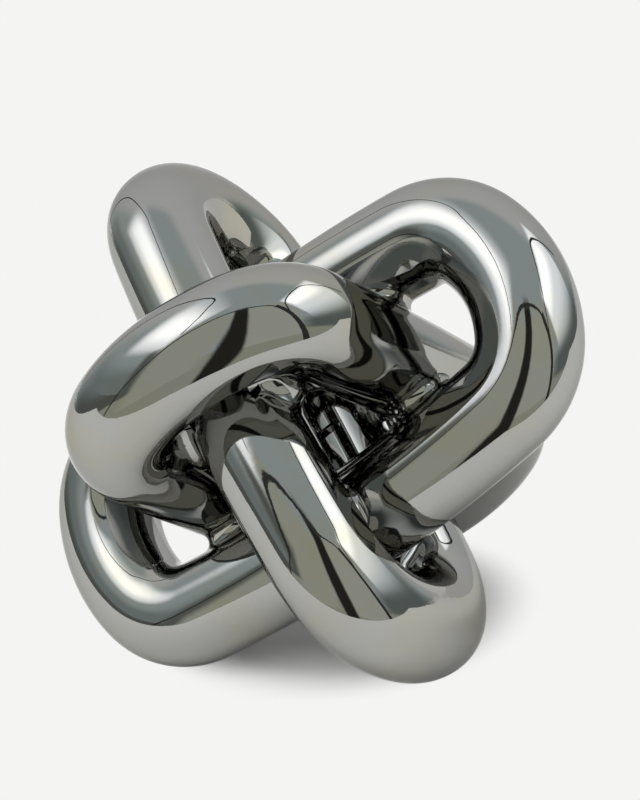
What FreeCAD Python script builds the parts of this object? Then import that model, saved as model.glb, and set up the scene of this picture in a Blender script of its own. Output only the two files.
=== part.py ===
import FreeCAD, Part
import math
import os
from FreeCAD import Placement, Rotation, Vector

# Knot sculpture of polished round tube: three closed oval rings, each linked through the next,
# standing on three of its six lobes. Millimetres, +Z up, -Y towards the viewer.

# Tube
TUBE_D = 35.0
TUBE_WALL = 1.6

# Open space at the end of each lobe, beyond the arms that it grips
OPENING_UPPER_RIGHT = 13.1
OPENING_LOWER_LEFT = 13.1
OPENING_UPPER_LEFT = 15.1
OPENING_LOWER_RIGHT = 9.3
OPENING_FRONT = 2.7
OPENING_BACK = 12.3

# Space between two tubes that cross, and the hollow face of the weld that fills it
CROSSING_GAP = 0.4
WELD_FILLET = 3.0

# Sleeve inside each butt joint of two half rings
SLEEVE_LENGTH = 24.0
SLEEVE_WALL = 1.5
SLEEVE_CLEARANCE = 0.1

# Extra length that lets one solid cut cleanly through another
OVERRUN = 0.5

# Directions of the parts of an oval, in degrees from its long axis
ACROSS = 90.0
FULL_TURN = 360.0

# The ring whose two arms each ring grips with its lobes.
# Where each ring lies: the heading, rise and twist of its long axis in degrees, and its middle in
# shares of the tube's diameter.
# The shape of each oval: what its half width has beyond a tube and a gap, and the radius of its
# long sides, as shares of the tube's diameter; the end and corner radii, as shares of its half width.
# The rings are bent by hand, so no two are quite alike.
RINGS = {
    "right": {
        "grips": "deep",
        "heading": -12.9,
        "rise": 32.9,
        "twist": 53.9,
        "middle_shares": (0.034, -0.034, -0.006),
        "spread_share": 0.057,
        "side_share": 13.3,
        "lobes": {
            +1: {
                "node": "upper_right_lobe",
                "opening": OPENING_UPPER_RIGHT,
                "end_share": 1.21,
                "corner_share": 0.67,
            },
            -1: {
                "node": "lower_left_lobe",
                "opening": OPENING_LOWER_LEFT,
                "end_share": 1.27,
                "corner_share": 0.68,
            },
        },
    },
    "left": {
        "grips": "right",
        "heading": 116.2,
        "rise": 41.7,
        "twist": 40.5,
        "middle_shares": (-0.070, 0.048, 0.033),
        "spread_share": 0.065,
        "side_share": 12.1,
        "lobes": {
            +1: {
                "node": "upper_left_lobe",
                "opening": OPENING_UPPER_LEFT,
                "end_share": 1.04,
                "corner_share": 0.63,
            },
            -1: {
                "node": "lower_right_lobe",
                "opening": OPENING_LOWER_RIGHT,
                "end_share": 1.26,
                "corner_share": 0.75,
            },
        },
    },
    "deep": {
        "grips": "left",
        "heading": -130.5,
        "rise": 35.1,
        "twist": 41.9,
        "middle_shares": (0.036, -0.014, -0.027),
        "spread_share": 0.078,
        "side_share": 42.0,
        "lobes": {
            +1: {
                "node": "front_lobe",
                "opening": OPENING_FRONT,
                "end_share": 1.50,
                "corner_share": 0.63,
            },
            -1: {
                "node": "back_lobe",
                "opening": OPENING_BACK,
                "end_share": 1.25,
                "corner_share": 0.64,
            },
        },
    },
}

# Where rings touch, from the top down: the ring whose arm is gripped there and the side of its long
# axis that this arm lies on, and the same for the ring whose lobe grips it
CROSSINGS = {
    "top_left_weld": (("right", +1), ("left", +1)),
    "top_front_weld": (("left", +1), ("deep", +1)),
    "top_right_weld": (("deep", +1), ("right", +1)),
    "upper_right_weld": (("deep", +1), ("right", -1)),
    "upper_back_weld": (("right", +1), ("left", -1)),
    "upper_left_weld": (("left", +1), ("deep", -1)),
    "lower_right_weld": (("left", -1), ("deep", +1)),
    "lower_left_weld": (("deep", -1), ("right", +1)),
    "lower_front_weld": (("right", -1), ("left", +1)),
    "base_left_weld": (("deep", -1), ("right", -1)),
    "base_right_weld": (("right", -1), ("left", -1)),
    "base_back_weld": (("left", -1), ("deep", -1)),
}


def half_width(ring):
    """Distance from a ring's long axis to the middle of its arms."""
    return TUBE_D + CROSSING_GAP + ring["spread_share"] * TUBE_D


def reach(ring, lobe):
    """Distance from the middle of a ring to the middle of the tube at the end of a lobe."""
    return half_width(RINGS[ring["grips"]]) + TUBE_D + lobe["opening"]


def oval_arcs(ring, lobe):
    """Side, corner and end arc of a quarter oval that meet tangentially, the side arc first.

    Each arc is (centre x, centre y, radius, start angle, end angle), in degrees from the long axis.
    """
    width = half_width(ring)
    side = ring["side_share"] * TUBE_D
    end = lobe["end_share"] * width
    corner = lobe["corner_share"] * width
    side_y = width - side
    end_x = reach(ring, lobe) - end
    span = math.hypot(end_x, side_y)
    along = ((side - corner) ** 2 - (end - corner) ** 2 + span ** 2) / (2 * span)
    off = math.sqrt((side - corner) ** 2 - along ** 2)
    corner_x = (along * end_x - off * side_y) / span
    corner_y = side_y - (along * side_y + off * end_x) / span
    side_to_corner = math.degrees(math.atan2(corner_y - side_y, corner_x))
    corner_to_end = math.degrees(math.atan2(corner_y, corner_x - end_x))
    return [
        (0, side_y, side, ACROSS, side_to_corner),
        (corner_x, corner_y, corner, side_to_corner, corner_to_end),
        (end_x, 0, end, corner_to_end, 0),
    ]


def turned(angle):
    """Unit vector at an angle from the long axis, in the plane of a ring."""
    return Vector(math.cos(math.radians(angle)), math.sin(math.radians(angle)), 0)


def ring_rotation(ring):
    """Turns a ring's own axes (long, across, square to its plane) into the sculpture's."""
    heading = Rotation(Vector(0, 0, 1), ring["heading"])
    rise = Rotation(Vector(0, 1, 0), -ring["rise"])
    twist = Rotation(Vector(1, 0, 0), ring["twist"])
    return heading * rise * twist


def ring_middle(ring):
    return Vector(*ring["middle_shares"]) * TUBE_D


def furthest_point(ring, direction):
    """Point of the middle line of a ring's tube that lies furthest in a direction."""
    rotation = ring_rotation(ring)
    local = rotation.inverted().multVec(direction)
    way = 1 if local.x >= 0 else -1
    angle = math.degrees(math.atan2(abs(local.y), abs(local.x)))
    for centre_x, centre_y, radius, start, end in oval_arcs(ring, ring["lobes"][way]):
        if end <= angle <= start:
            point = Vector(centre_x, centre_y, 0) + turned(angle) * radius
    point = Vector(point.x * way, math.copysign(point.y, local.y), 0)
    return ring_middle(ring) + rotation.multVec(point)


def level_rotation():
    """Turns the sculpture so that the lowest points of its three rings are level."""
    up = Vector(0, 0, 1)
    for _ in range(20):
        feet = [furthest_point(ring, -up) for ring in RINGS.values()]
        up = (feet[1] - feet[0]).cross(feet[2] - feet[0]).normalize()
        up = up * math.copysign(1, up.z)
    return Rotation(up, Vector(0, 0, 1))


def standing_placement():
    """Stands the levelled sculpture on z = 0, with its outline centred on the z axis."""
    level = level_rotation()

    def extent(x, y, z):
        direction = level.inverted().multVec(Vector(x, y, z))
        return max(furthest_point(ring, direction).dot(direction) for ring in RINGS.values()) + TUBE_D / 2

    middle_x = (extent(1, 0, 0) - extent(-1, 0, 0)) / 2
    middle_y = (extent(0, 1, 0) - extent(0, -1, 0)) / 2
    return Placement(Vector(-middle_x, -middle_y, extent(0, 0, -1)), level)


def stood(shape, ring):
    """The shape, moved from its ring's own axes to its place in the standing sculpture."""
    shape.Placement = standing_placement() * Placement(ring_middle(ring), ring_rotation(ring))
    return shape


def bent_tube(arc, outside, bore=0):
    """Round tube along an arc (centre x, centre y, radius, from angle, to angle) in a ring's plane."""
    centre_x, centre_y, radius, start, end = arc
    centre = Vector(centre_x, centre_y, 0)
    middle = centre + turned(start) * radius
    along = turned(start + ACROSS)
    rims = [Part.Wire(Part.makeCircle(across / 2, middle, along)) for across in (outside, bore) if across]
    section = Part.makeFace(rims, "Part::FaceMakerBullseye")
    return section.revolve(centre, Vector(0, 0, 1), end - start)


def half_ring_arcs(ring, way):
    """The five arcs of a half ring: side, corner, end, corner and side."""
    arcs = []
    for centre_x, centre_y, radius, start, end in oval_arcs(ring, ring["lobes"][way]):
        if centre_y:
            arcs.append((centre_x, centre_y, radius, end, start))
            arcs.append((centre_x, -centre_y, radius, -start, -end))
        else:
            arcs.append((centre_x, 0, radius, -start, start))
    if way < 0:
        arcs = [(-x, y, radius, 2 * ACROSS - end, 2 * ACROSS - start) for x, y, radius, start, end in arcs]
    return sorted(arcs, key=lambda arc: (arc[3] + arc[4]) / 2)


def half_ring(ring, way):
    """Hollow half ring, open at its two butt ends."""
    bends = [bent_tube(arc, TUBE_D, TUBE_D - 2 * TUBE_WALL) for arc in half_ring_arcs(ring, way)]
    return stood(bends[0].multiFuse(bends[1:]).removeSplitter(), ring)


def arm_arc(ring, side, reach_each_way):
    """Stretch of an arm to both sides of its middle."""
    radius = ring["side_share"] * TUBE_D
    middle = side * ACROSS
    half_angle = math.degrees(reach_each_way / radius)
    return (0, side * (half_width(ring) - radius), radius, middle - half_angle, middle + half_angle)


def sleeve(ring, side):
    """Sleeve that carries the butt joint in the middle of an arm."""
    outside = TUBE_D - 2 * TUBE_WALL - 2 * SLEEVE_CLEARANCE
    arc = arm_arc(ring, side, SLEEVE_LENGTH / 2)
    return stood(bent_tube(arc, outside, outside - 2 * SLEEVE_WALL), ring)


def flank_arcs(ring, way, side):
    """The side and corner arcs of a lobe, on one side of its ring's long axis."""
    arcs = half_ring_arcs(ring, way)
    return arcs[:2] if way * side < 0 else arcs[-2:]


def middle_line(bends):
    """Middle line of tube along arcs, each given with its ring."""
    edges = []
    for (centre_x, centre_y, radius, start, end), ring in bends:
        angles = (start, (start + end) / 2, end)
        points = [Vector(centre_x, centre_y, 0) + turned(angle) * radius for angle in angles]
        edges.append(stood(Part.Arc(*points).toShape(), ring))
    return Part.makeCompound(edges)


def spool(distance):
    """Waist with a hollow face that seats on two tubes crossing at a distance along z."""
    hollow = WELD_FILLET + (distance - TUBE_D) / 2
    rim = math.sqrt(2 * ((TUBE_D / 2 + hollow) ** 2 - (distance / 2) ** 2))
    height = distance / 2 - math.sqrt((TUBE_D / 2) ** 2 - rim ** 2) + OVERRUN
    corners = [(rim, height), (0, height), (0, -height), (rim, -height)]
    sides = Part.makePolygon([Vector(x, 0, z) for x, z in corners])
    face = Part.Arc(Vector(rim, 0, -height), Vector(rim - hollow, 0, 0), Vector(rim, 0, height))
    profile = Part.Face(Part.Wire([face.toShape()] + sides.Edges))
    return profile.revolve(Vector(0, 0, 0), Vector(0, 0, 1), FULL_TURN)


def weld(gripped, gripping):
    """Weld where a lobe of one ring touches the arm of another that it grips."""
    (gripped_name, gripped_side), (gripping_name, gripping_side) = gripped, gripping
    gripped_ring, gripping_ring = RINGS[gripped_name], RINGS[gripping_name]
    arm = [(arm_arc(gripped_ring, gripped_side, TUBE_D), gripped_ring)]
    lobe = [(arc, gripping_ring) for arc in flank_arcs(gripping_ring, gripped_side, gripping_side)]
    distance, nearest, _ = middle_line(arm).distToShape(middle_line(lobe))
    start, finish = nearest[0]
    bead = spool(distance)
    bead.Placement = Placement((start + finish) / 2, Rotation(Vector(0, 0, 1), finish - start))
    return bead.cut([stood(bent_tube(arc, TUBE_D), ring) for arc, ring in arm + lobe])


def export(shape, node):
    shape.exportStep("parts/" + node + ".step")


def build():
    os.makedirs("parts", exist_ok=True)
    for name, ring in RINGS.items():
        for way, lobe in ring["lobes"].items():
            export(half_ring(ring, way), lobe["node"])
        for side, place in ((1, "upper"), (-1, "lower")):
            export(sleeve(ring, side), name + "_ring_" + place + "_sleeve")
    for node, (first, second) in CROSSINGS.items():
        export(weld(first, second), node)


build()
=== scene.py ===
import math

import bpy
from mathutils import Matrix, Vector


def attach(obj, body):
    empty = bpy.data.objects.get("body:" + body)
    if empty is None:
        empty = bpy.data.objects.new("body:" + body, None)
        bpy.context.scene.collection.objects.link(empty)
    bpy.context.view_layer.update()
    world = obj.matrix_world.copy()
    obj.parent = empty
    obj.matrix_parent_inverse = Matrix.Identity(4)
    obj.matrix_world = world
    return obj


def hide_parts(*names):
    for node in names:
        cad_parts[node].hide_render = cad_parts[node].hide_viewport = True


bl_info = {
    "name": "Knot sculpture",
    "version": (1, 0, 0),
    "blender": (4, 5, 0),
    "location": "View3D > Sidebar > Knot",
    "description": "Three linked oval rings of polished tube, their welds, and a studio stage",
    "category": "Object",
}

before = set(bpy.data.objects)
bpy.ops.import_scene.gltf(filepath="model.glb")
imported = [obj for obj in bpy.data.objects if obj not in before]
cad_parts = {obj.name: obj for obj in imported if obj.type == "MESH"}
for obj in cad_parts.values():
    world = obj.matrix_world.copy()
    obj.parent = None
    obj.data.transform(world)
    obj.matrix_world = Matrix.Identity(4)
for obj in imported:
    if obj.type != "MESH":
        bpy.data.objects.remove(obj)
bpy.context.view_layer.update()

MM = 0.001
BODY = "root"

# Direction across an oval, in degrees from its long axis
ACROSS = 90.0

# A tube's edges that turn by more than this many degrees stay crisp
CRISP_ANGLE = 40

# How many points of a lobe are tried for the one nearest to an arm, and how often it is then bettered
NEAREST_TRIES = 20
NEAREST_ROUNDS = 80

# How often a weld's ball is set right, and how far it may move in one round, stray out, and stray
# along the weld's axis, in shares of its usual distance from the weld's middle
BALL_ROUNDS = 20
BALL_STEP_SHARE, BALL_OUT_SHARE, BALL_ALONG_SHARE = 1 / 8, 1 / 6, 1 / 4

# Length of a half ring's first step, as a share of the others, so that its butt end is cut square
FIRST_STEP_SHARE = 1 / 100

# Shares of the polish's roughness where it is clearest and where it is haziest, and the values of the
# haze between which the warm stain sets in
HAZE_SHARES = (0.7, 1.6)
STAIN_START, STAIN_FULL = 0.5, 0.66

# Roughness of the bare steel where its grain is finest and where it is coarsest
STEEL_ROUGHNESS = (0.28, 0.45)

# Sockets of a mix node by number, because its numbers, vectors and colours share their names
MIX_SHARE, MIX_FIRST, MIX_SECOND, MIX_COLOUR = 0, 6, 7, 2

# The three rings as they are bent: the ring whose arms each one grips, the heading, rise and twist of
# the long axis in degrees, the middle and the long sides' radius in shares of the tube's diameter,
# what the half width has beyond a tube and a gap in the same shares, and for the lobes that point
# along the long axis (+1) and against it (-1) the opening at the end in millimetres, with the end and
# corner radii in shares of the half width
RINGS = {
    "right": {
        "grips": "deep",
        "heading": -12.9,
        "rise": 32.9,
        "twist": 53.9,
        "middle_shares": (0.034, -0.034, -0.006),
        "spread_share": 0.057,
        "side_share": 13.3,
        "lobes": {
            +1: {"node": "upper_right_lobe", "opening": 13.1, "end_share": 1.21, "corner_share": 0.67},
            -1: {"node": "lower_left_lobe", "opening": 13.1, "end_share": 1.27, "corner_share": 0.68},
        },
    },
    "left": {
        "grips": "right",
        "heading": 116.2,
        "rise": 41.7,
        "twist": 40.5,
        "middle_shares": (-0.070, 0.048, 0.033),
        "spread_share": 0.065,
        "side_share": 12.1,
        "lobes": {
            +1: {"node": "upper_left_lobe", "opening": 15.1, "end_share": 1.04, "corner_share": 0.63},
            -1: {"node": "lower_right_lobe", "opening": 9.3, "end_share": 1.26, "corner_share": 0.75},
        },
    },
    "deep": {
        "grips": "left",
        "heading": -130.5,
        "rise": 35.1,
        "twist": 41.9,
        "middle_shares": (0.036, -0.014, -0.027),
        "spread_share": 0.078,
        "side_share": 42.0,
        "lobes": {
            +1: {"node": "front_lobe", "opening": 2.7, "end_share": 1.50, "corner_share": 0.63},
            -1: {"node": "back_lobe", "opening": 12.3, "end_share": 1.25, "corner_share": 0.64},
        },
    },
}

# Where rings touch: the ring whose arm is gripped, with the arm's side of the long axis, and the ring
# that grips it, with the side of its own. The lobe that grips the +1 arm is the +1 lobe.
CROSSINGS = {
    "top_left_weld": (("right", +1), ("left", +1)),
    "top_front_weld": (("left", +1), ("deep", +1)),
    "top_right_weld": (("deep", +1), ("right", +1)),
    "upper_right_weld": (("deep", +1), ("right", -1)),
    "upper_back_weld": (("right", +1), ("left", -1)),
    "upper_left_weld": (("left", +1), ("deep", -1)),
    "lower_right_weld": (("left", -1), ("deep", +1)),
    "lower_left_weld": (("deep", -1), ("right", +1)),
    "lower_front_weld": (("right", -1), ("left", +1)),
    "base_left_weld": (("deep", -1), ("right", -1)),
    "base_right_weld": (("right", -1), ("left", -1)),
    "base_back_weld": (("left", -1), ("deep", -1)),
}

# The camera: its place in metres, the directions that lie right, up and back in the picture, its film
# in millimetres, its focal length and the picture's long side in pixels, and how near and how far it
# sees in metres
CAMERA = {
    "place": (0.004573, -0.766161, 0.364891),
    "right": (0.99243, -0.04199, -0.11539),
    "up": (0.12280, 0.34121, 0.93193),
    "back": (0.00024, -0.93905, 0.34379),
    "film": 36.0,
    "focal_pixels": 2451.4,
    "long_side_pixels": 800,
    "nearest": 0.05,
    "furthest": 50,
}

# Softboxes and cards that the metal mirrors: heading and height in degrees (heading 0 towards the
# viewer, + to the right), how wide and tall they look from the sculpture in degrees, how far they
# stand off as a share of the cards' distance, colour, strength, and the share of the card over which
# it fades out at its left, right, lower and upper side, as the sculpture sees it from inside
CARDS = {
    "Backdrop": {"heading": 172, "height": 36, "wide": 112, "tall": 96, "distance_share": 1.5,
                 "colour": "#F2F2F2", "strength": 1.25, "fades": (0.3, 0.25, 0.15, 0.2)},
    "Left shade": {"heading": -96, "height": 10, "wide": 92, "tall": 36, "distance_share": 1.45,
                   "colour": "#ADBABA", "strength": 1.0, "fades": (0.4, 0.1, 0.1, 0.4)},
    "Left shade low": {"heading": -98, "height": 2, "wide": 88, "tall": 20, "distance_share": 1.44,
                       "colour": "#808580", "strength": 1.0, "fades": (0.4, 0.15, 0.1, 0.6)},
    "Right shade": {"heading": 88, "height": 2, "wide": 90, "tall": 30, "distance_share": 1.45,
                    "colour": "#8C9694", "strength": 1.0, "fades": (0.25, 0.3, 0.2, 0.5)},
    "Front left wall": {"heading": -35, "height": 15, "wide": 60, "tall": 72, "distance_share": 1.4,
                        "colour": "#E6E8D9", "strength": 1.0, "fades": (0.25, 0.2, 0.04, 0.1)},
    "Front left shade": {"heading": -58, "height": 14, "wide": 18, "tall": 44, "distance_share": 1.35,
                         "colour": "#858A85", "strength": 1.0, "fades": (0.4, 0.5, 0.1, 0.3)},
    "Front right wall": {"heading": 23, "height": 15, "wide": 58, "tall": 72, "distance_share": 1.4,
                         "colour": "#EBEDE2", "strength": 1.0, "fades": (0.2, 0.06, 0.04, 0.1)},
    "Viewer": {"heading": 0, "height": 5, "wide": 19, "tall": 102, "distance_share": 0.72,
               "colour": "#3D3C38", "strength": 1.0, "fades": (0.2, 0.2, 0.02, 0.1)},
    "Left glow": {"heading": -80, "height": 54, "wide": 54, "tall": 52, "distance_share": 1.25,
                  "colour": "#F8FBFF", "strength": 2.4, "fades": (0.35, 0.1, 0.15, 0.5)},
    "Left softbox": {"heading": -78, "height": 50, "wide": 48, "tall": 34, "distance_share": 1.2,
                     "colour": "#FFFFFF", "strength": 3.7, "fades": (0.5, 0.2, 0.35, 0.45)},
    "Right glow": {"heading": 86, "height": 31, "wide": 56, "tall": 50, "distance_share": 1.25,
                   "colour": "#F5FAFF", "strength": 2.5, "fades": (0.06, 0.08, 0.5, 0.1)},
    "Right softbox": {"heading": 87, "height": 43, "wide": 52, "tall": 22, "distance_share": 1.2,
                      "colour": "#FFFFFF", "strength": 3.8, "fades": (0.06, 0.4, 0.5, 0.2)},
}

# Thin dark frames that the metal mirrors: headings and heights of their points in degrees, thickness
# in metres, and how far they stand off as a share of the cards' distance
BOWS = {
    "Front bow": {"places": ((-72, -24), (-66, -2), (-55, 18), (-44, 38), (-24, 49), (0, 52), (24, 49),
                             (38, 42), (44, 30)), "thickness": 0.03, "distance_share": 1.0},
    "Right post": {"places": ((38, 42), (43, 32), (46, 14), (48, -10), (50, -34)), "thickness": 0.075,
                   "distance_share": 0.99},
    "Right frame": {"places": ((45, 22), (46, 38), (54, 48), (76, 54), (100, 53), (114, 42), (122, 20)),
                    "thickness": 0.024, "distance_share": 0.98},
    "Left frame": {"places": ((-48, 40), (-50, 52), (-62, 62), (-84, 70), (-110, 67), (-130, 54),
                              (-144, 30), (-146, 0)), "thickness": 0.02, "distance_share": 1.0},
}
FRAME_PAINT = "#4C4C4C"

# Where the picture shows the floor's shadow: in full out to one distance from a place, and not at all
# beyond the other, in metres
FLOOR_SHADE = {"middle": (0.004, 0.014, 0), "full": 0.042, "gone": 0.07}

# Distant lamps that light the floor: heading, height and spread in degrees, and watts per square metre
LAMPS = {
    "Front lamp": {"heading": -40, "height": 52, "spread": 80, "energy": 1.72},
    "Left lamp": {"heading": -85, "height": 45, "spread": 50, "energy": 0.58},
}

# Colours of the room: what the camera sees behind the sculpture, the ceiling and far walls that the
# metal mirrors, the light that fills the shadow, and the room's floor below the table; and how many
# times brighter than its own colour the metal mirrors the table
WALLS = {
    "seen": "#F4F4F2",
    "mirrored": "#DEEBEC",
    "fill": "#E2E2E2",
    "room floor": "#D6D9C9",
    "mirrored floor": 1.3,
}


class KnotTube(bpy.types.PropertyGroup):
    """Sizes of the tube and of its welds."""

    diameter: bpy.props.FloatProperty(
        name="Tube diameter", description="Outside diameter of the tube",
        default=35 * MM, unit="LENGTH")
    wall: bpy.props.FloatProperty(
        name="Wall", description="Thickness of the tube's wall", default=1.6 * MM, unit="LENGTH")
    gap: bpy.props.FloatProperty(
        name="Gap", description="Space between two tubes that cross", default=0.4 * MM, unit="LENGTH")
    fillet: bpy.props.FloatProperty(
        name="Weld fillet", description="Radius of the hollow face of a dressed weld",
        default=3.0 * MM, unit="LENGTH")
    step: bpy.props.FloatProperty(
        name="Step along", description="Length of one facet along the tube", default=1.0 * MM,
        unit="LENGTH")
    sides: bpy.props.IntProperty(
        name="Sides", description="Facets round the tube", default=128)
    weld_sides: bpy.props.IntProperty(
        name="Weld sides", description="Facets round a weld", default=96)
    weld_steps: bpy.props.IntProperty(
        name="Weld steps", description="Facets across a weld's hollow face", default=16)


class KnotFinish(bpy.types.PropertyGroup):
    """Finish of the metal."""

    polish: bpy.props.StringProperty(
        name="Polish", description="Colour of the mirror polish", default="#8F8F8D")
    edge: bpy.props.StringProperty(
        name="Rim", description="Colour of the polish where it turns away", default="#CCCCCC")
    roughness: bpy.props.FloatProperty(
        name="Roughness", description="How far the polish blurs what it mirrors", default=0.03,
        min=0.0, max=1.0, subtype="FACTOR")
    wave: bpy.props.FloatProperty(
        name="Wave", description="Height of the waves that hand polishing leaves", default=0.06 * MM,
        unit="LENGTH")
    wave_length: bpy.props.FloatProperty(
        name="Wave length", description="Length of those waves", default=22 * MM, unit="LENGTH")
    ripple: bpy.props.FloatProperty(
        name="Ripple", description="Height of the fine ripple of the plating", default=0.01 * MM,
        unit="LENGTH")
    ripple_length: bpy.props.FloatProperty(
        name="Ripple length", description="Length of that ripple", default=4 * MM, unit="LENGTH")
    haze_length: bpy.props.FloatProperty(
        name="Haze length", description="Length of the patches of haze and stain", default=40 * MM,
        unit="LENGTH")
    stain: bpy.props.StringProperty(
        name="Stain", description="Colour of the polish where the plating is stained warm",
        default="#908E84")
    steel: bpy.props.StringProperty(
        name="Steel", description="Colour of the bare steel of the sleeves", default="#C4C3C2")
    grain: bpy.props.FloatProperty(
        name="Grain", description="Height of the grain on the bare steel", default=0.01 * MM,
        unit="LENGTH")
    grain_length: bpy.props.FloatProperty(
        name="Grain length", description="Length of that grain, coarser than the real one, so it shows",
        default=0.6 * MM, unit="LENGTH")


class KnotStage(bpy.types.PropertyGroup):
    """Sizes of the stage."""

    floor_size: bpy.props.FloatProperty(
        name="Floor size", description="How far the floor runs back and to the sides", default=8.0,
        unit="LENGTH")
    front_edge: bpy.props.FloatProperty(
        name="Front edge", description="How far the floor comes forward of the middle", default=0.19,
        unit="LENGTH")
    drop: bpy.props.FloatProperty(
        name="Drop", description="How far the room's floor lies below the table", default=0.7,
        unit="LENGTH")
    card_distance: bpy.props.FloatProperty(
        name="Card distance", description="How far the softboxes and cards stand off", default=1.1,
        unit="LENGTH")
    aim_height: bpy.props.FloatProperty(
        name="Aim height", description="Height that the softboxes and cards face", default=0.08,
        unit="LENGTH")
    paper: bpy.props.StringProperty(name="Paper", description="Colour of the floor", default="#ECECEA")


def add_object(name, data, placed=Matrix()):
    """Makes an object of a mesh, path, lamp or camera and puts it into the scene."""
    result = bpy.data.objects.new(name, data)
    result.matrix_world = placed
    bpy.context.scene.collection.objects.link(result)
    return result


def half_width(ring, tube):
    """Distance from a ring's long axis to the middle of its arms, in metres."""
    return tube.diameter + tube.gap + ring["spread_share"] * tube.diameter


def reach(ring, way, tube):
    """Distance from the middle of a ring to the middle of the tube at the end of a lobe."""
    return half_width(RINGS[ring["grips"]], tube) + tube.diameter + ring["lobes"][way]["opening"] * MM


def oval_arcs(ring, way, tube):
    """Side, corner and end arc of a quarter oval that meet tangentially, the side arc first.

    Each arc is (centre x, centre y, radius, start angle, end angle), angles from the long axis.
    """
    lobe = ring["lobes"][way]
    width = half_width(ring, tube)
    side = ring["side_share"] * tube.diameter
    end = lobe["end_share"] * width
    corner = lobe["corner_share"] * width
    side_y = width - side
    end_x = reach(ring, way, tube) - end
    span = math.hypot(end_x, side_y)
    along = ((side - corner) ** 2 - (end - corner) ** 2 + span ** 2) / (2 * span)
    off = math.sqrt((side - corner) ** 2 - along ** 2)
    corner_x = (along * end_x - off * side_y) / span
    corner_y = side_y - (along * side_y + off * end_x) / span
    side_to_corner = math.degrees(math.atan2(corner_y - side_y, corner_x))
    corner_to_end = math.degrees(math.atan2(corner_y, corner_x - end_x))
    return [
        (0, side_y, side, ACROSS, side_to_corner),
        (corner_x, corner_y, corner, side_to_corner, corner_to_end),
        (end_x, 0, end, corner_to_end, 0),
    ]


def quarter_points(ring, way, tube):
    """Points of a quarter oval from the middle of its side to the middle of its end."""
    points = []
    for centre_x, centre_y, radius, start, end in oval_arcs(ring, way, tube):
        length = radius * math.radians(start - end)
        count = max(2, math.ceil(length / tube.step))
        for index in range(count):
            angle = math.radians(start + (end - start) * index / count)
            points.append((centre_x + radius * math.cos(angle), centre_y + radius * math.sin(angle)))
    return points


def half_ring_path(ring, way, tube):
    """Points of a half ring's middle line in its own plane, from one butt end to the other."""
    quarter = quarter_points(ring, way, tube)
    first = quarter[0]
    quarter.insert(1, (first[0] + tube.step * FIRST_STEP_SHARE, first[1]))
    there = [Vector((x * way, -y, 0)) for x, y in quarter]
    back = [Vector((x * way, y, 0)) for x, y in reversed(quarter)]
    return there + [Vector((reach(ring, way, tube) * way, 0, 0))] + back


def ring_matrix(ring, tube):
    """Turns a ring's own axes (long, across, square to its plane) into the sculpture's."""
    twist = Matrix.Rotation(math.radians(ring["twist"]), 4, "X")
    rise = Matrix.Rotation(-math.radians(ring["rise"]), 4, "Y")
    heading = Matrix.Rotation(math.radians(ring["heading"]), 4, "Z")
    middle = Vector(ring["middle_shares"]) * tube.diameter
    return Matrix.Translation(middle) @ heading @ rise @ twist


def standing_shift(tube):
    """Moves the rings, as one, to stand on the floor with their outline centred on the origin."""
    reached = []
    for ring in RINGS.values():
        matrix = ring_matrix(ring, tube)
        reached += [matrix @ point for way in ring["lobes"] for point in half_ring_path(ring, way, tube)]
    low = [min(point[i] for point in reached) for i in range(3)]
    high = [max(point[i] for point in reached) for i in range(3)]
    return Matrix.Translation((-(low[0] + high[0]) / 2, -(low[1] + high[1]) / 2,
                               tube.diameter / 2 - low[2]))


class Bend:
    """Arc of a ring's middle line in the sculpture."""

    def __init__(self, placed, way, side, arc):
        centre_x, centre_y, self.radius, start, end = arc
        self.low, self.high = math.radians(end), math.radians(start)
        self.centre = placed @ Vector((centre_x * way, centre_y * side, 0))
        self.along = placed.to_3x3() @ Vector((way, 0, 0))
        self.across = placed.to_3x3() @ Vector((0, side, 0))

    def point(self, angle):
        """Point of the arc's circle at an angle from the ring's long axis."""
        return self.centre + self.radius * (math.cos(angle) * self.along + math.sin(angle) * self.across)

    def nearest(self, place):
        """Point of the arc that lies nearest to a place."""
        away = place - self.centre
        angle = math.atan2(away.dot(self.across), away.dot(self.along))
        return self.point(min(max(angle, self.low), self.high))


def flank(ring, way, side, tube, shift):
    """Side and corner arc of a lobe, on one side of its ring's long axis."""
    placed = shift @ ring_matrix(ring, tube)
    return [Bend(placed, way, side, arc) for arc in oval_arcs(ring, way, tube)[:2]]


def arm_bend(ring, side, tube, shift):
    """The stretch of an arm that lies between the arms of the ring that grips it."""
    centre_x, centre_y, radius, middle, _ = oval_arcs(ring, 1, tube)[0]
    spread = math.degrees(tube.diameter / radius)
    arc = (centre_x, centre_y, radius, middle + spread, middle - spread)
    return Bend(shift @ ring_matrix(ring, tube), 1, side, arc)


def nearest_on(bends, place):
    """The point of some arcs that lies nearest to a place."""
    return min((bend.nearest(place) for bend in bends), key=lambda point: (point - place).length)


def closest_pair(arm, lobe):
    """The points where an arm and a lobe that grips it come nearest to each other."""
    tries = [bend.point(bend.low + (bend.high - bend.low) * index / NEAREST_TRIES)
             for bend in lobe for index in range(NEAREST_TRIES + 1)]
    there = min(tries, key=lambda place: (nearest_on(arm, place) - place).length)
    for _ in range(NEAREST_ROUNDS):
        here = nearest_on(arm, there)
        there = nearest_on(lobe, here)
    return here, there


def held(value, limit):
    """The value, or the limit on its side of zero where it goes past that."""
    return min(max(value, -limit), limit)


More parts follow.
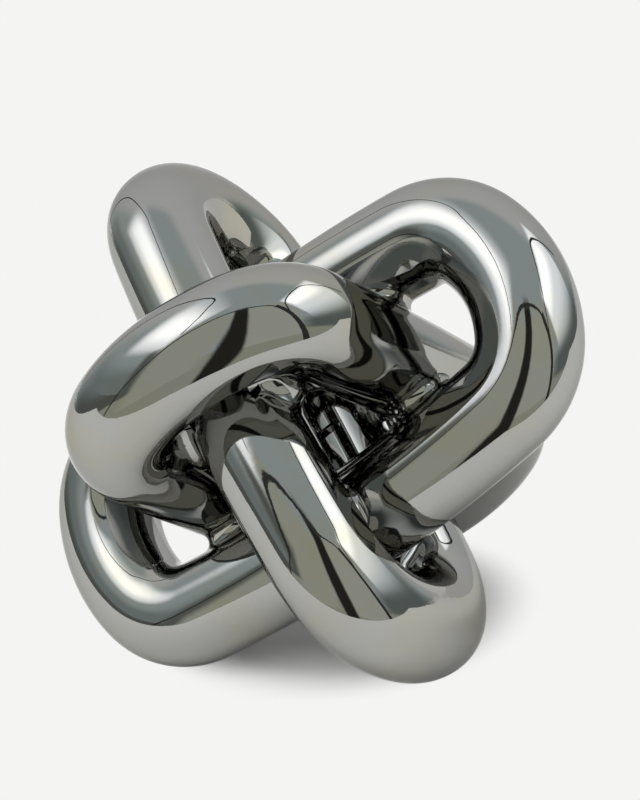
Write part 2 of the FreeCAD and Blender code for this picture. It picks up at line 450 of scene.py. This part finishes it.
def rolling_ball(arm, lobe, middle, axis, outward, offset, start):
    """Centre of a ball that rests on both tubes, out from the middle of a weld in one direction.

    Where the tubes run on side by side, the ball stops a little beyond its usual distance.
    """
    out, lift = start, 0
    for _ in range(BALL_ROUNDS):
        place = middle + out * outward + lift * axis
        from_arm = place - nearest_on(arm, place)
        from_lobe = place - nearest_on(lobe, place)
        errors = Vector((from_arm.length - offset, from_lobe.length - offset))
        from_arm.normalize()
        from_lobe.normalize()
        slopes = Matrix(((from_arm.dot(outward), from_arm.dot(axis)),
                         (from_lobe.dot(outward), from_lobe.dot(axis))))
        step = slopes.inverted_safe() @ errors
        out -= held(step[0], start * BALL_STEP_SHARE)
        lift -= held(step[1], start * BALL_STEP_SHARE)
        out = start + held(out - start, start * BALL_OUT_SHARE)
        lift = held(lift, start * BALL_ALONG_SHARE)
    return middle + out * outward + lift * axis


def weld_rows(arm, lobe, tube):
    """Rows of points and outward directions of a weld's hollow face, one row for each direction."""
    here, there = closest_pair(arm, lobe)
    middle, axis = (here + there) / 2, (there - here).normalized()
    first = axis.orthogonal().normalized()
    second = axis.cross(first)
    radius = tube.diameter / 2
    half_gap = (there - here).length / 2 - radius
    ball = tube.fillet + half_gap
    offset = radius + ball
    seat = ball + tube.wall / 2
    # The ball's distance from the middle where two straight tubes cross at right angles
    start = math.sqrt(2 * (offset ** 2 - (there - here).length_squared / 4))
    rows = []
    for index in range(tube.weld_sides):
        turn = 2 * math.pi * index / tube.weld_sides
        outward = math.cos(turn) * first + math.sin(turn) * second
        centre = rolling_ball(arm, lobe, middle, axis, outward, offset, start)
        to_arm = (nearest_on(arm, centre) - centre).normalized()
        to_lobe = (nearest_on(lobe, centre) - centre).normalized()
        row = [(centre + seat * to_arm, -to_arm)]
        for step in range(tube.weld_steps + 1):
            way = to_arm.slerp(to_lobe, step / tube.weld_steps)
            row.append((centre + ball * way, -way))
        row.append((centre + seat * to_lobe, -to_lobe))
        rows.append(row)
    return (here, -axis), rows, (there, axis)


def weld_piece(name, arm, lobe, tube):
    """Closed piece that fills the corner between two tubes and seats inside their walls."""
    pole, rows, other_pole = weld_rows(arm, lobe, tube)
    count, length = len(rows), len(rows[0])
    poles = [pole, other_pole]
    points = poles + [point for row in rows for point in row]
    faces = []
    for index in range(count):
        here = len(poles) + index * length
        there = len(poles) + (index + 1) % count * length
        faces.append((0, there, here))
        faces.append((1, here + length - 1, there + length - 1))
        faces += [(here + step, there + step, there + step + 1, here + step + 1)
                  for step in range(length - 1)]
    mesh = bpy.data.meshes.new(name)
    mesh.from_pydata([place for place, _ in points], [], faces)
    mesh.shade_smooth()
    halfway = len(poles) + length // 2
    if mesh.polygons[halfway].normal.dot(points[halfway][1]) < 0:
        mesh.flip_normals()
    mesh.normals_split_custom_set_from_vertices([outward for _, outward in points])
    mesh.materials.append(nickel_mirror())
    return add_object(name, mesh)


def build_node(tree, kind, links=None, **settings):
    """Adds a node, sets its properties and links or fills its inputs by name."""
    node = tree.nodes.new(kind)
    for name, value in settings.items():
        setattr(node, name, value)
    for name, value in (links or {}).items():
        socket = node.inputs[name]
        if isinstance(value, bpy.types.NodeSocket):
            tree.links.new(value, socket)
        else:
            socket.default_value = value
    return node


def tube_tree():
    """Geometry nodes that sweep a round section along a path."""
    tree = bpy.data.node_groups.new("Round tube along a path", "GeometryNodeTree")
    face = tree.interface
    face.new_socket("Path", in_out="INPUT", socket_type="NodeSocketGeometry")
    face.new_socket("Tube diameter", in_out="INPUT", socket_type="NodeSocketFloat")
    face.new_socket("Sides", in_out="INPUT", socket_type="NodeSocketInt")
    face.new_socket("Material", in_out="INPUT", socket_type="NodeSocketMaterial")
    face.new_socket("Tube", in_out="OUTPUT", socket_type="NodeSocketGeometry")
    given = build_node(tree, "NodeGroupInput")
    upright = build_node(tree, "GeometryNodeSetCurveNormal", {"Curve": given.outputs["Path"]},
                         mode="Z_UP")
    radius = build_node(tree, "ShaderNodeMath", {0: given.outputs["Tube diameter"], 1: 0.5},
                        operation="MULTIPLY")
    section = build_node(tree, "GeometryNodeCurvePrimitiveCircle",
                         {"Resolution": given.outputs["Sides"], "Radius": radius.outputs[0]})
    swept = build_node(tree, "GeometryNodeCurveToMesh",
                       {"Curve": upright.outputs[0], "Profile Curve": section.outputs[0]})
    smooth = build_node(tree, "GeometryNodeSetShadeSmooth", {"Geometry": swept.outputs[0]})
    real = build_node(tree, "GeometryNodeRealizeInstances", {"Geometry": smooth.outputs[0]})
    painted = build_node(tree, "GeometryNodeSetMaterial",
                         {"Geometry": real.outputs[0], "Material": given.outputs["Material"]})
    build_node(tree, "NodeGroupOutput", {"Tube": painted.outputs[0]})
    return tree


def set_input(modifier, name, value):
    """Sets a geometry nodes input by its socket's identifier."""
    for item in modifier.node_group.interface.items_tree:
        if item.in_out == "INPUT" and item.name == name:
            modifier[item.identifier] = value
            return
    raise KeyError(name)


def plain_mesh(piece):
    """Turns a piece with modifiers into an object with the resulting mesh and no modifiers."""
    graph = bpy.context.evaluated_depsgraph_get()
    mesh = bpy.data.meshes.new_from_object(piece.evaluated_get(graph))
    name = piece.name
    bpy.data.objects.remove(piece)
    return add_object(name, mesh)


def path_object(name, points):
    """Open path of straight steps through the points."""
    curve = bpy.data.curves.new(name, "CURVE")
    curve.dimensions = "3D"
    spline = curve.splines.new("POLY")
    spline.points.add(len(points) - 1)
    for point, place in zip(spline.points, points):
        point.co = (*place, 1)
    return add_object(name, curve)


def linear(colour):
    """Turns an sRGB hex colour into the linear values that shaders take, with full alpha."""
    shares = [int(colour[start:start + 2], 16) / 255 for start in (1, 3, 5)]
    return tuple(c / 12.92 if c <= 0.04045 else ((c + 0.055) / 1.055) ** 2.4 for c in shares) + (1.0,)


def new_material(name):
    """Material with an empty node tree, and that tree."""
    material = bpy.data.materials.new(name)
    material.use_nodes = True
    material.node_tree.nodes.clear()
    return material, material.node_tree


def nickel_mirror():
    """Dark nickel plate, mirror polished by hand: its reflections waver, haze and warm a little."""
    name = "Dark nickel mirror polish"
    if name in bpy.data.materials:
        return bpy.data.materials[name]
    finish = bpy.context.scene.knot_finish
    material, tree = new_material(name)
    place = build_node(tree, "ShaderNodeTexCoord")
    waves = build_node(tree, "ShaderNodeTexNoise", {"Vector": place.outputs["Object"],
                       "Scale": 1 / finish.wave_length, "Detail": 1.0})
    swell = build_node(tree, "ShaderNodeBump", {"Height": waves.outputs["Fac"],
                       "Distance": finish.wave, "Strength": 1.0})
    ripples = build_node(tree, "ShaderNodeTexNoise", {"Vector": place.outputs["Object"],
                         "Scale": 1 / finish.ripple_length, "Detail": 2.0})
    relief = build_node(tree, "ShaderNodeBump", {"Height": ripples.outputs["Fac"],
                        "Distance": finish.ripple, "Strength": 1.0, "Normal": swell.outputs["Normal"]})
    haze = build_node(tree, "ShaderNodeTexNoise", {"Vector": place.outputs["Object"],
                      "Scale": 1 / finish.haze_length, "Detail": 6.0, "Roughness": 0.62})
    gloss = build_node(tree, "ShaderNodeMapRange", {"Value": haze.outputs["Fac"],
                       "To Min": finish.roughness * HAZE_SHARES[0],
                       "To Max": finish.roughness * HAZE_SHARES[1]})
    stained = build_node(tree, "ShaderNodeMapRange", {"Value": haze.outputs["Fac"],
                         "From Min": STAIN_START, "From Max": STAIN_FULL})
    plating = build_node(tree, "ShaderNodeMix", {MIX_SHARE: stained.outputs["Result"],
                         MIX_FIRST: linear(finish.polish), MIX_SECOND: linear(finish.stain)},
                         data_type="RGBA")
    shader = build_node(tree, "ShaderNodeBsdfPrincipled", {"Base Color": plating.outputs[MIX_COLOUR],
                        "Metallic": 1.0, "Roughness": gloss.outputs["Result"],
                        "Specular Tint": linear(finish.edge), "Normal": relief.outputs["Normal"]})
    build_node(tree, "ShaderNodeOutputMaterial", {"Surface": shader.outputs["BSDF"]})
    return material


def drawn_steel():
    """Bare drawn steel with a fine grain that blurs its gloss, for the sleeves inside."""
    finish = bpy.context.scene.knot_finish
    material, tree = new_material("Bare drawn steel")
    place = build_node(tree, "ShaderNodeTexCoord")
    grain = build_node(tree, "ShaderNodeTexNoise", {"Vector": place.outputs["Object"],
                       "Scale": 1 / finish.grain_length, "Detail": 3.0})
    gloss = build_node(tree, "ShaderNodeMapRange", {"Value": grain.outputs["Fac"],
                       "To Min": STEEL_ROUGHNESS[0], "To Max": STEEL_ROUGHNESS[1]})
    relief = build_node(tree, "ShaderNodeBump", {"Height": grain.outputs["Fac"],
                        "Distance": finish.grain, "Strength": 0.5})
    shader = build_node(tree, "ShaderNodeBsdfPrincipled", {"Base Color": linear(finish.steel),
                        "Metallic": 1.0, "Roughness": gloss.outputs["Result"],
                        "Normal": relief.outputs["Normal"]})
    build_node(tree, "ShaderNodeOutputMaterial", {"Surface": shader.outputs["BSDF"]})
    return material


def matt_paper(colour):
    """Matt paper for the floor, which the picture shows evenly pale except close under the knot."""
    material, tree = new_material("Matt paper")
    place = build_node(tree, "ShaderNodeTexCoord")
    middle = build_node(tree, "ShaderNodeVectorMath", {0: place.outputs["Object"],
                        1: FLOOR_SHADE["middle"]}, operation="DISTANCE")
    held_back = build_node(tree, "ShaderNodeMapRange", {"Value": middle.outputs["Value"],
                           "From Min": FLOOR_SHADE["full"], "From Max": FLOOR_SHADE["gone"]},
                           interpolation_type="SMOOTHSTEP")
    paper = build_node(tree, "ShaderNodeBsdfDiffuse", {"Color": linear(colour)})
    white = build_node(tree, "ShaderNodeEmission", {"Color": linear(WALLS["seen"]), "Strength": 1.0})
    seen = build_node(tree, "ShaderNodeMixShader", {0: held_back.outputs["Result"],
                      1: paper.outputs[0], 2: white.outputs[0]})
    brighter = tuple(value * WALLS["mirrored floor"] for value in linear(colour)[:3]) + (1.0,)
    mirrored = build_node(tree, "ShaderNodeBsdfDiffuse", {"Color": brighter})
    rays = build_node(tree, "ShaderNodeLightPath")
    shader = build_node(tree, "ShaderNodeMixShader", {0: rays.outputs["Is Camera Ray"],
                        1: mirrored.outputs[0], 2: seen.outputs[0]})
    build_node(tree, "ShaderNodeOutputMaterial", {"Surface": shader.outputs[0]})
    return material


def even_paint(name, colour):
    """Paint of the stage that the metal mirrors just as bright as it is written."""
    material, tree = new_material(name)
    paint = build_node(tree, "ShaderNodeEmission", {"Color": linear(colour), "Strength": 1.0})
    build_node(tree, "ShaderNodeOutputMaterial", {"Surface": paint.outputs[0]})
    return material


def glowing_card(name, card):
    """Softbox or lit card that fades out towards its left, right, lower and upper side."""
    material, tree = new_material(name)
    place = build_node(tree, "ShaderNodeTexCoord")
    split = build_node(tree, "ShaderNodeSeparateXYZ", {"Vector": place.outputs["Generated"]})
    whole = 1.0
    for side, fade in zip(("left", "right", "low", "high"), card["fades"]):
        along = split.outputs["X" if side in ("left", "right") else "Y"]
        near, far = (0, fade) if side in ("left", "low") else (1, 1 - fade)
        ramp = build_node(tree, "ShaderNodeMapRange",
                          {"Value": along, "From Min": near, "From Max": far},
                          interpolation_type="SMOOTHSTEP")
        part = build_node(tree, "ShaderNodeMath", {0: whole, 1: ramp.outputs["Result"]},
                          operation="MULTIPLY")
        whole = part.outputs[0]
    light = build_node(tree, "ShaderNodeEmission", {"Color": linear(card["colour"]),
                       "Strength": card["strength"]})
    clear = build_node(tree, "ShaderNodeBsdfTransparent")
    mixed = build_node(tree, "ShaderNodeMixShader", {0: whole, 1: clear.outputs[0], 2: light.outputs[0]})
    build_node(tree, "ShaderNodeOutputMaterial", {"Surface": mixed.outputs[0]})
    return material


class KNOT_OT_rings(bpy.types.Operator):
    """Bend the three rings, each of two half rings"""

    bl_idname = "knot.rings"
    bl_label = "Rings"

    def execute(self, context):
        tube = context.scene.knot_tube
        tree = tube_tree()
        shift = standing_shift(tube)
        for ring in RINGS.values():
            for way, lobe in ring["lobes"].items():
                piece = path_object(lobe["node"] + "_tube", half_ring_path(ring, way, tube))
                modifier = piece.modifiers.new("Tube", "NODES")
                modifier.node_group = tree
                set_input(modifier, "Tube diameter", tube.diameter)
                set_input(modifier, "Sides", tube.sides)
                set_input(modifier, "Material", nickel_mirror())
                walls = piece.modifiers.new("Wall", "SOLIDIFY")
                walls.thickness = tube.wall
                walls.offset = -1
                piece = plain_mesh(piece)
                piece.data.transform(shift @ ring_matrix(ring, tube))
                piece.data.set_sharp_from_angle(angle=math.radians(CRISP_ANGLE))
                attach(piece, BODY)
                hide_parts(lobe["node"])
        return {"FINISHED"}


class KNOT_OT_welds(bpy.types.Operator):
    """Run the twelve welds where the rings touch"""

    bl_idname = "knot.welds"
    bl_label = "Welds"

    def execute(self, context):
        tube = context.scene.knot_tube
        shift = standing_shift(tube)
        for node, ((gripped, gripped_side), (gripping, gripping_side)) in CROSSINGS.items():
            arm = [arm_bend(RINGS[gripped], gripped_side, tube, shift)]
            lobe = flank(RINGS[gripping], gripped_side, gripping_side, tube, shift)
            piece = weld_piece(node + "_bead", arm, lobe, tube)
            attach(piece, BODY)
            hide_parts(node)
        return {"FINISHED"}


class KNOT_OT_sleeves(bpy.types.Operator):
    """Finish the six sleeves inside the tubes"""

    bl_idname = "knot.sleeves"
    bl_label = "Sleeves"

    def execute(self, context):
        steel = drawn_steel()
        for ring in RINGS:
            for place in ("upper", "lower"):
                sleeve = bpy.data.objects[ring + "_ring_" + place + "_sleeve"]
                for slot in sleeve.material_slots:
                    slot.material = steel
        return {"FINISHED"}


def direction(heading, height):
    """Unit vector at a heading (0 towards the viewer, + to the right) and a height, in degrees."""
    heading, height = math.radians(heading), math.radians(height)
    return Vector((math.sin(heading) * math.cos(height), -math.cos(heading) * math.cos(height),
                   math.sin(height)))


def hide_from_all_but_mirrors(piece):
    """Leaves a piece of the stage to the metal's reflections alone."""
    piece.visible_camera = False
    piece.visible_diffuse = False
    piece.visible_shadow = False


def stand_sheet(name, low, high, material, placed=Matrix()):
    """Flat sheet of the stage from its low corner to its high one."""
    corners = [(low[0], low[1], 0), (high[0], low[1], 0), (high[0], high[1], 0), (low[0], high[1], 0)]
    mesh = bpy.data.meshes.new(name)
    mesh.from_pydata(corners, [], [(0, 1, 2, 3)])
    mesh.materials.append(material)
    sheet = add_object(name, mesh, placed)
    return sheet


def stand_card(name, card, stage):
    """Card that faces the sculpture and shows only in its reflections."""
    away = direction(card["heading"], card["height"])
    distance = stage.card_distance * card["distance_share"]
    half_x = distance * math.tan(math.radians(card["wide"] / 2))
    half_y = distance * math.tan(math.radians(card["tall"] / 2))
    turn = away.to_track_quat("Z", "Y").to_matrix().to_4x4()
    placed = Matrix.Translation(away * distance + Vector((0, 0, stage.aim_height))) @ turn
    hide_from_all_but_mirrors(stand_sheet(name, (-half_x, -half_y), (half_x, half_y),
                                          glowing_card(name, card), placed))


def stand_bows(stage):
    """Dark frames of the softboxes, which the metal mirrors as thin lines."""
    material = even_paint("Dark frame", FRAME_PAINT)
    for name, bow in BOWS.items():
        distance = stage.card_distance * bow["distance_share"]
        points = [direction(heading, height) * distance + Vector((0, 0, stage.aim_height))
                  for heading, height in bow["places"]]
        piece = path_object(name, points)
        spline = piece.data.splines[0]
        spline.type = "NURBS"
        spline.order_u = 3
        spline.use_endpoint_u = True
        piece.data.bevel_depth = bow["thickness"] / 2
        piece.data.materials.append(material)
        hide_from_all_but_mirrors(piece)


def stand_lamp(name, lamp):
    """Distant soft lamp that lights the floor and throws the shadow, and isn't mirrored."""
    light = bpy.data.lights.new(name, "SUN")
    light.energy = lamp["energy"]
    light.angle = math.radians(lamp["spread"])
    away = direction(lamp["heading"], lamp["height"])
    turn = away.to_track_quat("Z", "Y").to_matrix().to_4x4()
    add_object(name, light, turn).visible_glossy = False


def stand_floor(stage):
    """Floor that ends a little in front of the sculpture, as the table does, and the room's below."""
    side = stage.floor_size
    stand_sheet("Floor", (-side, -stage.front_edge), (side, side), matt_paper(stage.paper))
    room = stand_sheet("Room floor", (-side, -side), (side, side),
                       even_paint("Shaded room floor", WALLS["room floor"]),
                       Matrix.Translation((0, 0, -stage.drop)))
    hide_from_all_but_mirrors(room)


def stand_camera():
    """Camera at the photograph's place."""
    camera = bpy.data.cameras.new("Camera")
    camera.sensor_width = CAMERA["film"]
    camera.lens = CAMERA["focal_pixels"] / CAMERA["long_side_pixels"] * CAMERA["film"]
    camera.clip_start = CAMERA["nearest"]
    camera.clip_end = CAMERA["furthest"]
    turn = Matrix((CAMERA["right"], CAMERA["up"], CAMERA["back"])).transposed().to_4x4()
    placed = Matrix.Translation(CAMERA["place"]) @ turn
    bpy.context.scene.camera = add_object("Camera", camera, placed)


def light_world():
    """World that is the pale backdrop to the camera, the room to the metal, and fill light elsewhere."""
    world = bpy.data.worlds.new("Studio")
    bpy.context.scene.world = world
    world.use_nodes = True
    tree = world.node_tree
    tree.nodes.clear()
    rays = build_node(tree, "ShaderNodeLightPath")
    fill, mirrored, backdrop = [
        build_node(tree, "ShaderNodeBackground", {"Color": linear(WALLS[part]), "Strength": 1.0})
        for part in ("fill", "mirrored", "seen")]
    lit = build_node(tree, "ShaderNodeMixShader", {0: rays.outputs["Is Glossy Ray"],
                     1: fill.outputs[0], 2: mirrored.outputs[0]})
    seen = build_node(tree, "ShaderNodeMixShader", {0: rays.outputs["Is Camera Ray"],
                      1: lit.outputs[0], 2: backdrop.outputs[0]})
    build_node(tree, "ShaderNodeOutputWorld", {"Surface": seen.outputs[0]})


class KNOT_OT_stage(bpy.types.Operator):
    """Set up the floor, the lights, the cards and the camera"""

    bl_idname = "knot.stage"
    bl_label = "Stage"

    def execute(self, context):
        context.scene.view_settings.view_transform = "Standard"
        stage = context.scene.knot_stage
        stand_camera()
        stand_floor(stage)
        stand_bows(stage)
        light_world()
        for name, lamp in LAMPS.items():
            stand_lamp(name, lamp)
        for name, card in CARDS.items():
            stand_card(name, card, stage)
        return {"FINISHED"}


class KNOT_PT_sidebar(bpy.types.Panel):
    """Sizes, finish and stage of the knot sculpture"""

    bl_idname = "KNOT_PT_sidebar"
    bl_label = "Knot sculpture"
    bl_space_type = "VIEW_3D"
    bl_region_type = "UI"
    bl_category = "Knot"

    def draw(self, context):
        for group in (context.scene.knot_tube, context.scene.knot_finish, context.scene.knot_stage):
            box = self.layout.box()
            for name in group.__annotations__:
                box.prop(group, name)
        for operator in OPERATORS:
            self.layout.operator(operator.bl_idname)


OPERATORS = (KNOT_OT_rings, KNOT_OT_welds, KNOT_OT_sleeves, KNOT_OT_stage)
CLASSES = (KnotTube, KnotFinish, KnotStage) + OPERATORS + (KNOT_PT_sidebar,)


def register():
    for item in CLASSES:
        bpy.utils.register_class(item)
    bpy.types.Scene.knot_tube = bpy.props.PointerProperty(type=KnotTube)
    bpy.types.Scene.knot_finish = bpy.props.PointerProperty(type=KnotFinish)
    bpy.types.Scene.knot_stage = bpy.props.PointerProperty(type=KnotStage)


def unregister():
    del bpy.types.Scene.knot_stage
    del bpy.types.Scene.knot_finish
    del bpy.types.Scene.knot_tube
    for item in reversed(CLASSES):
        bpy.utils.unregister_class(item)


def main():
    """Makes the pieces and the stage."""
    register()
    bpy.ops.knot.rings()
    bpy.ops.knot.welds()
    bpy.ops.knot.sleeves()
    bpy.ops.knot.stage()


if __name__ == "__main__":
    main()
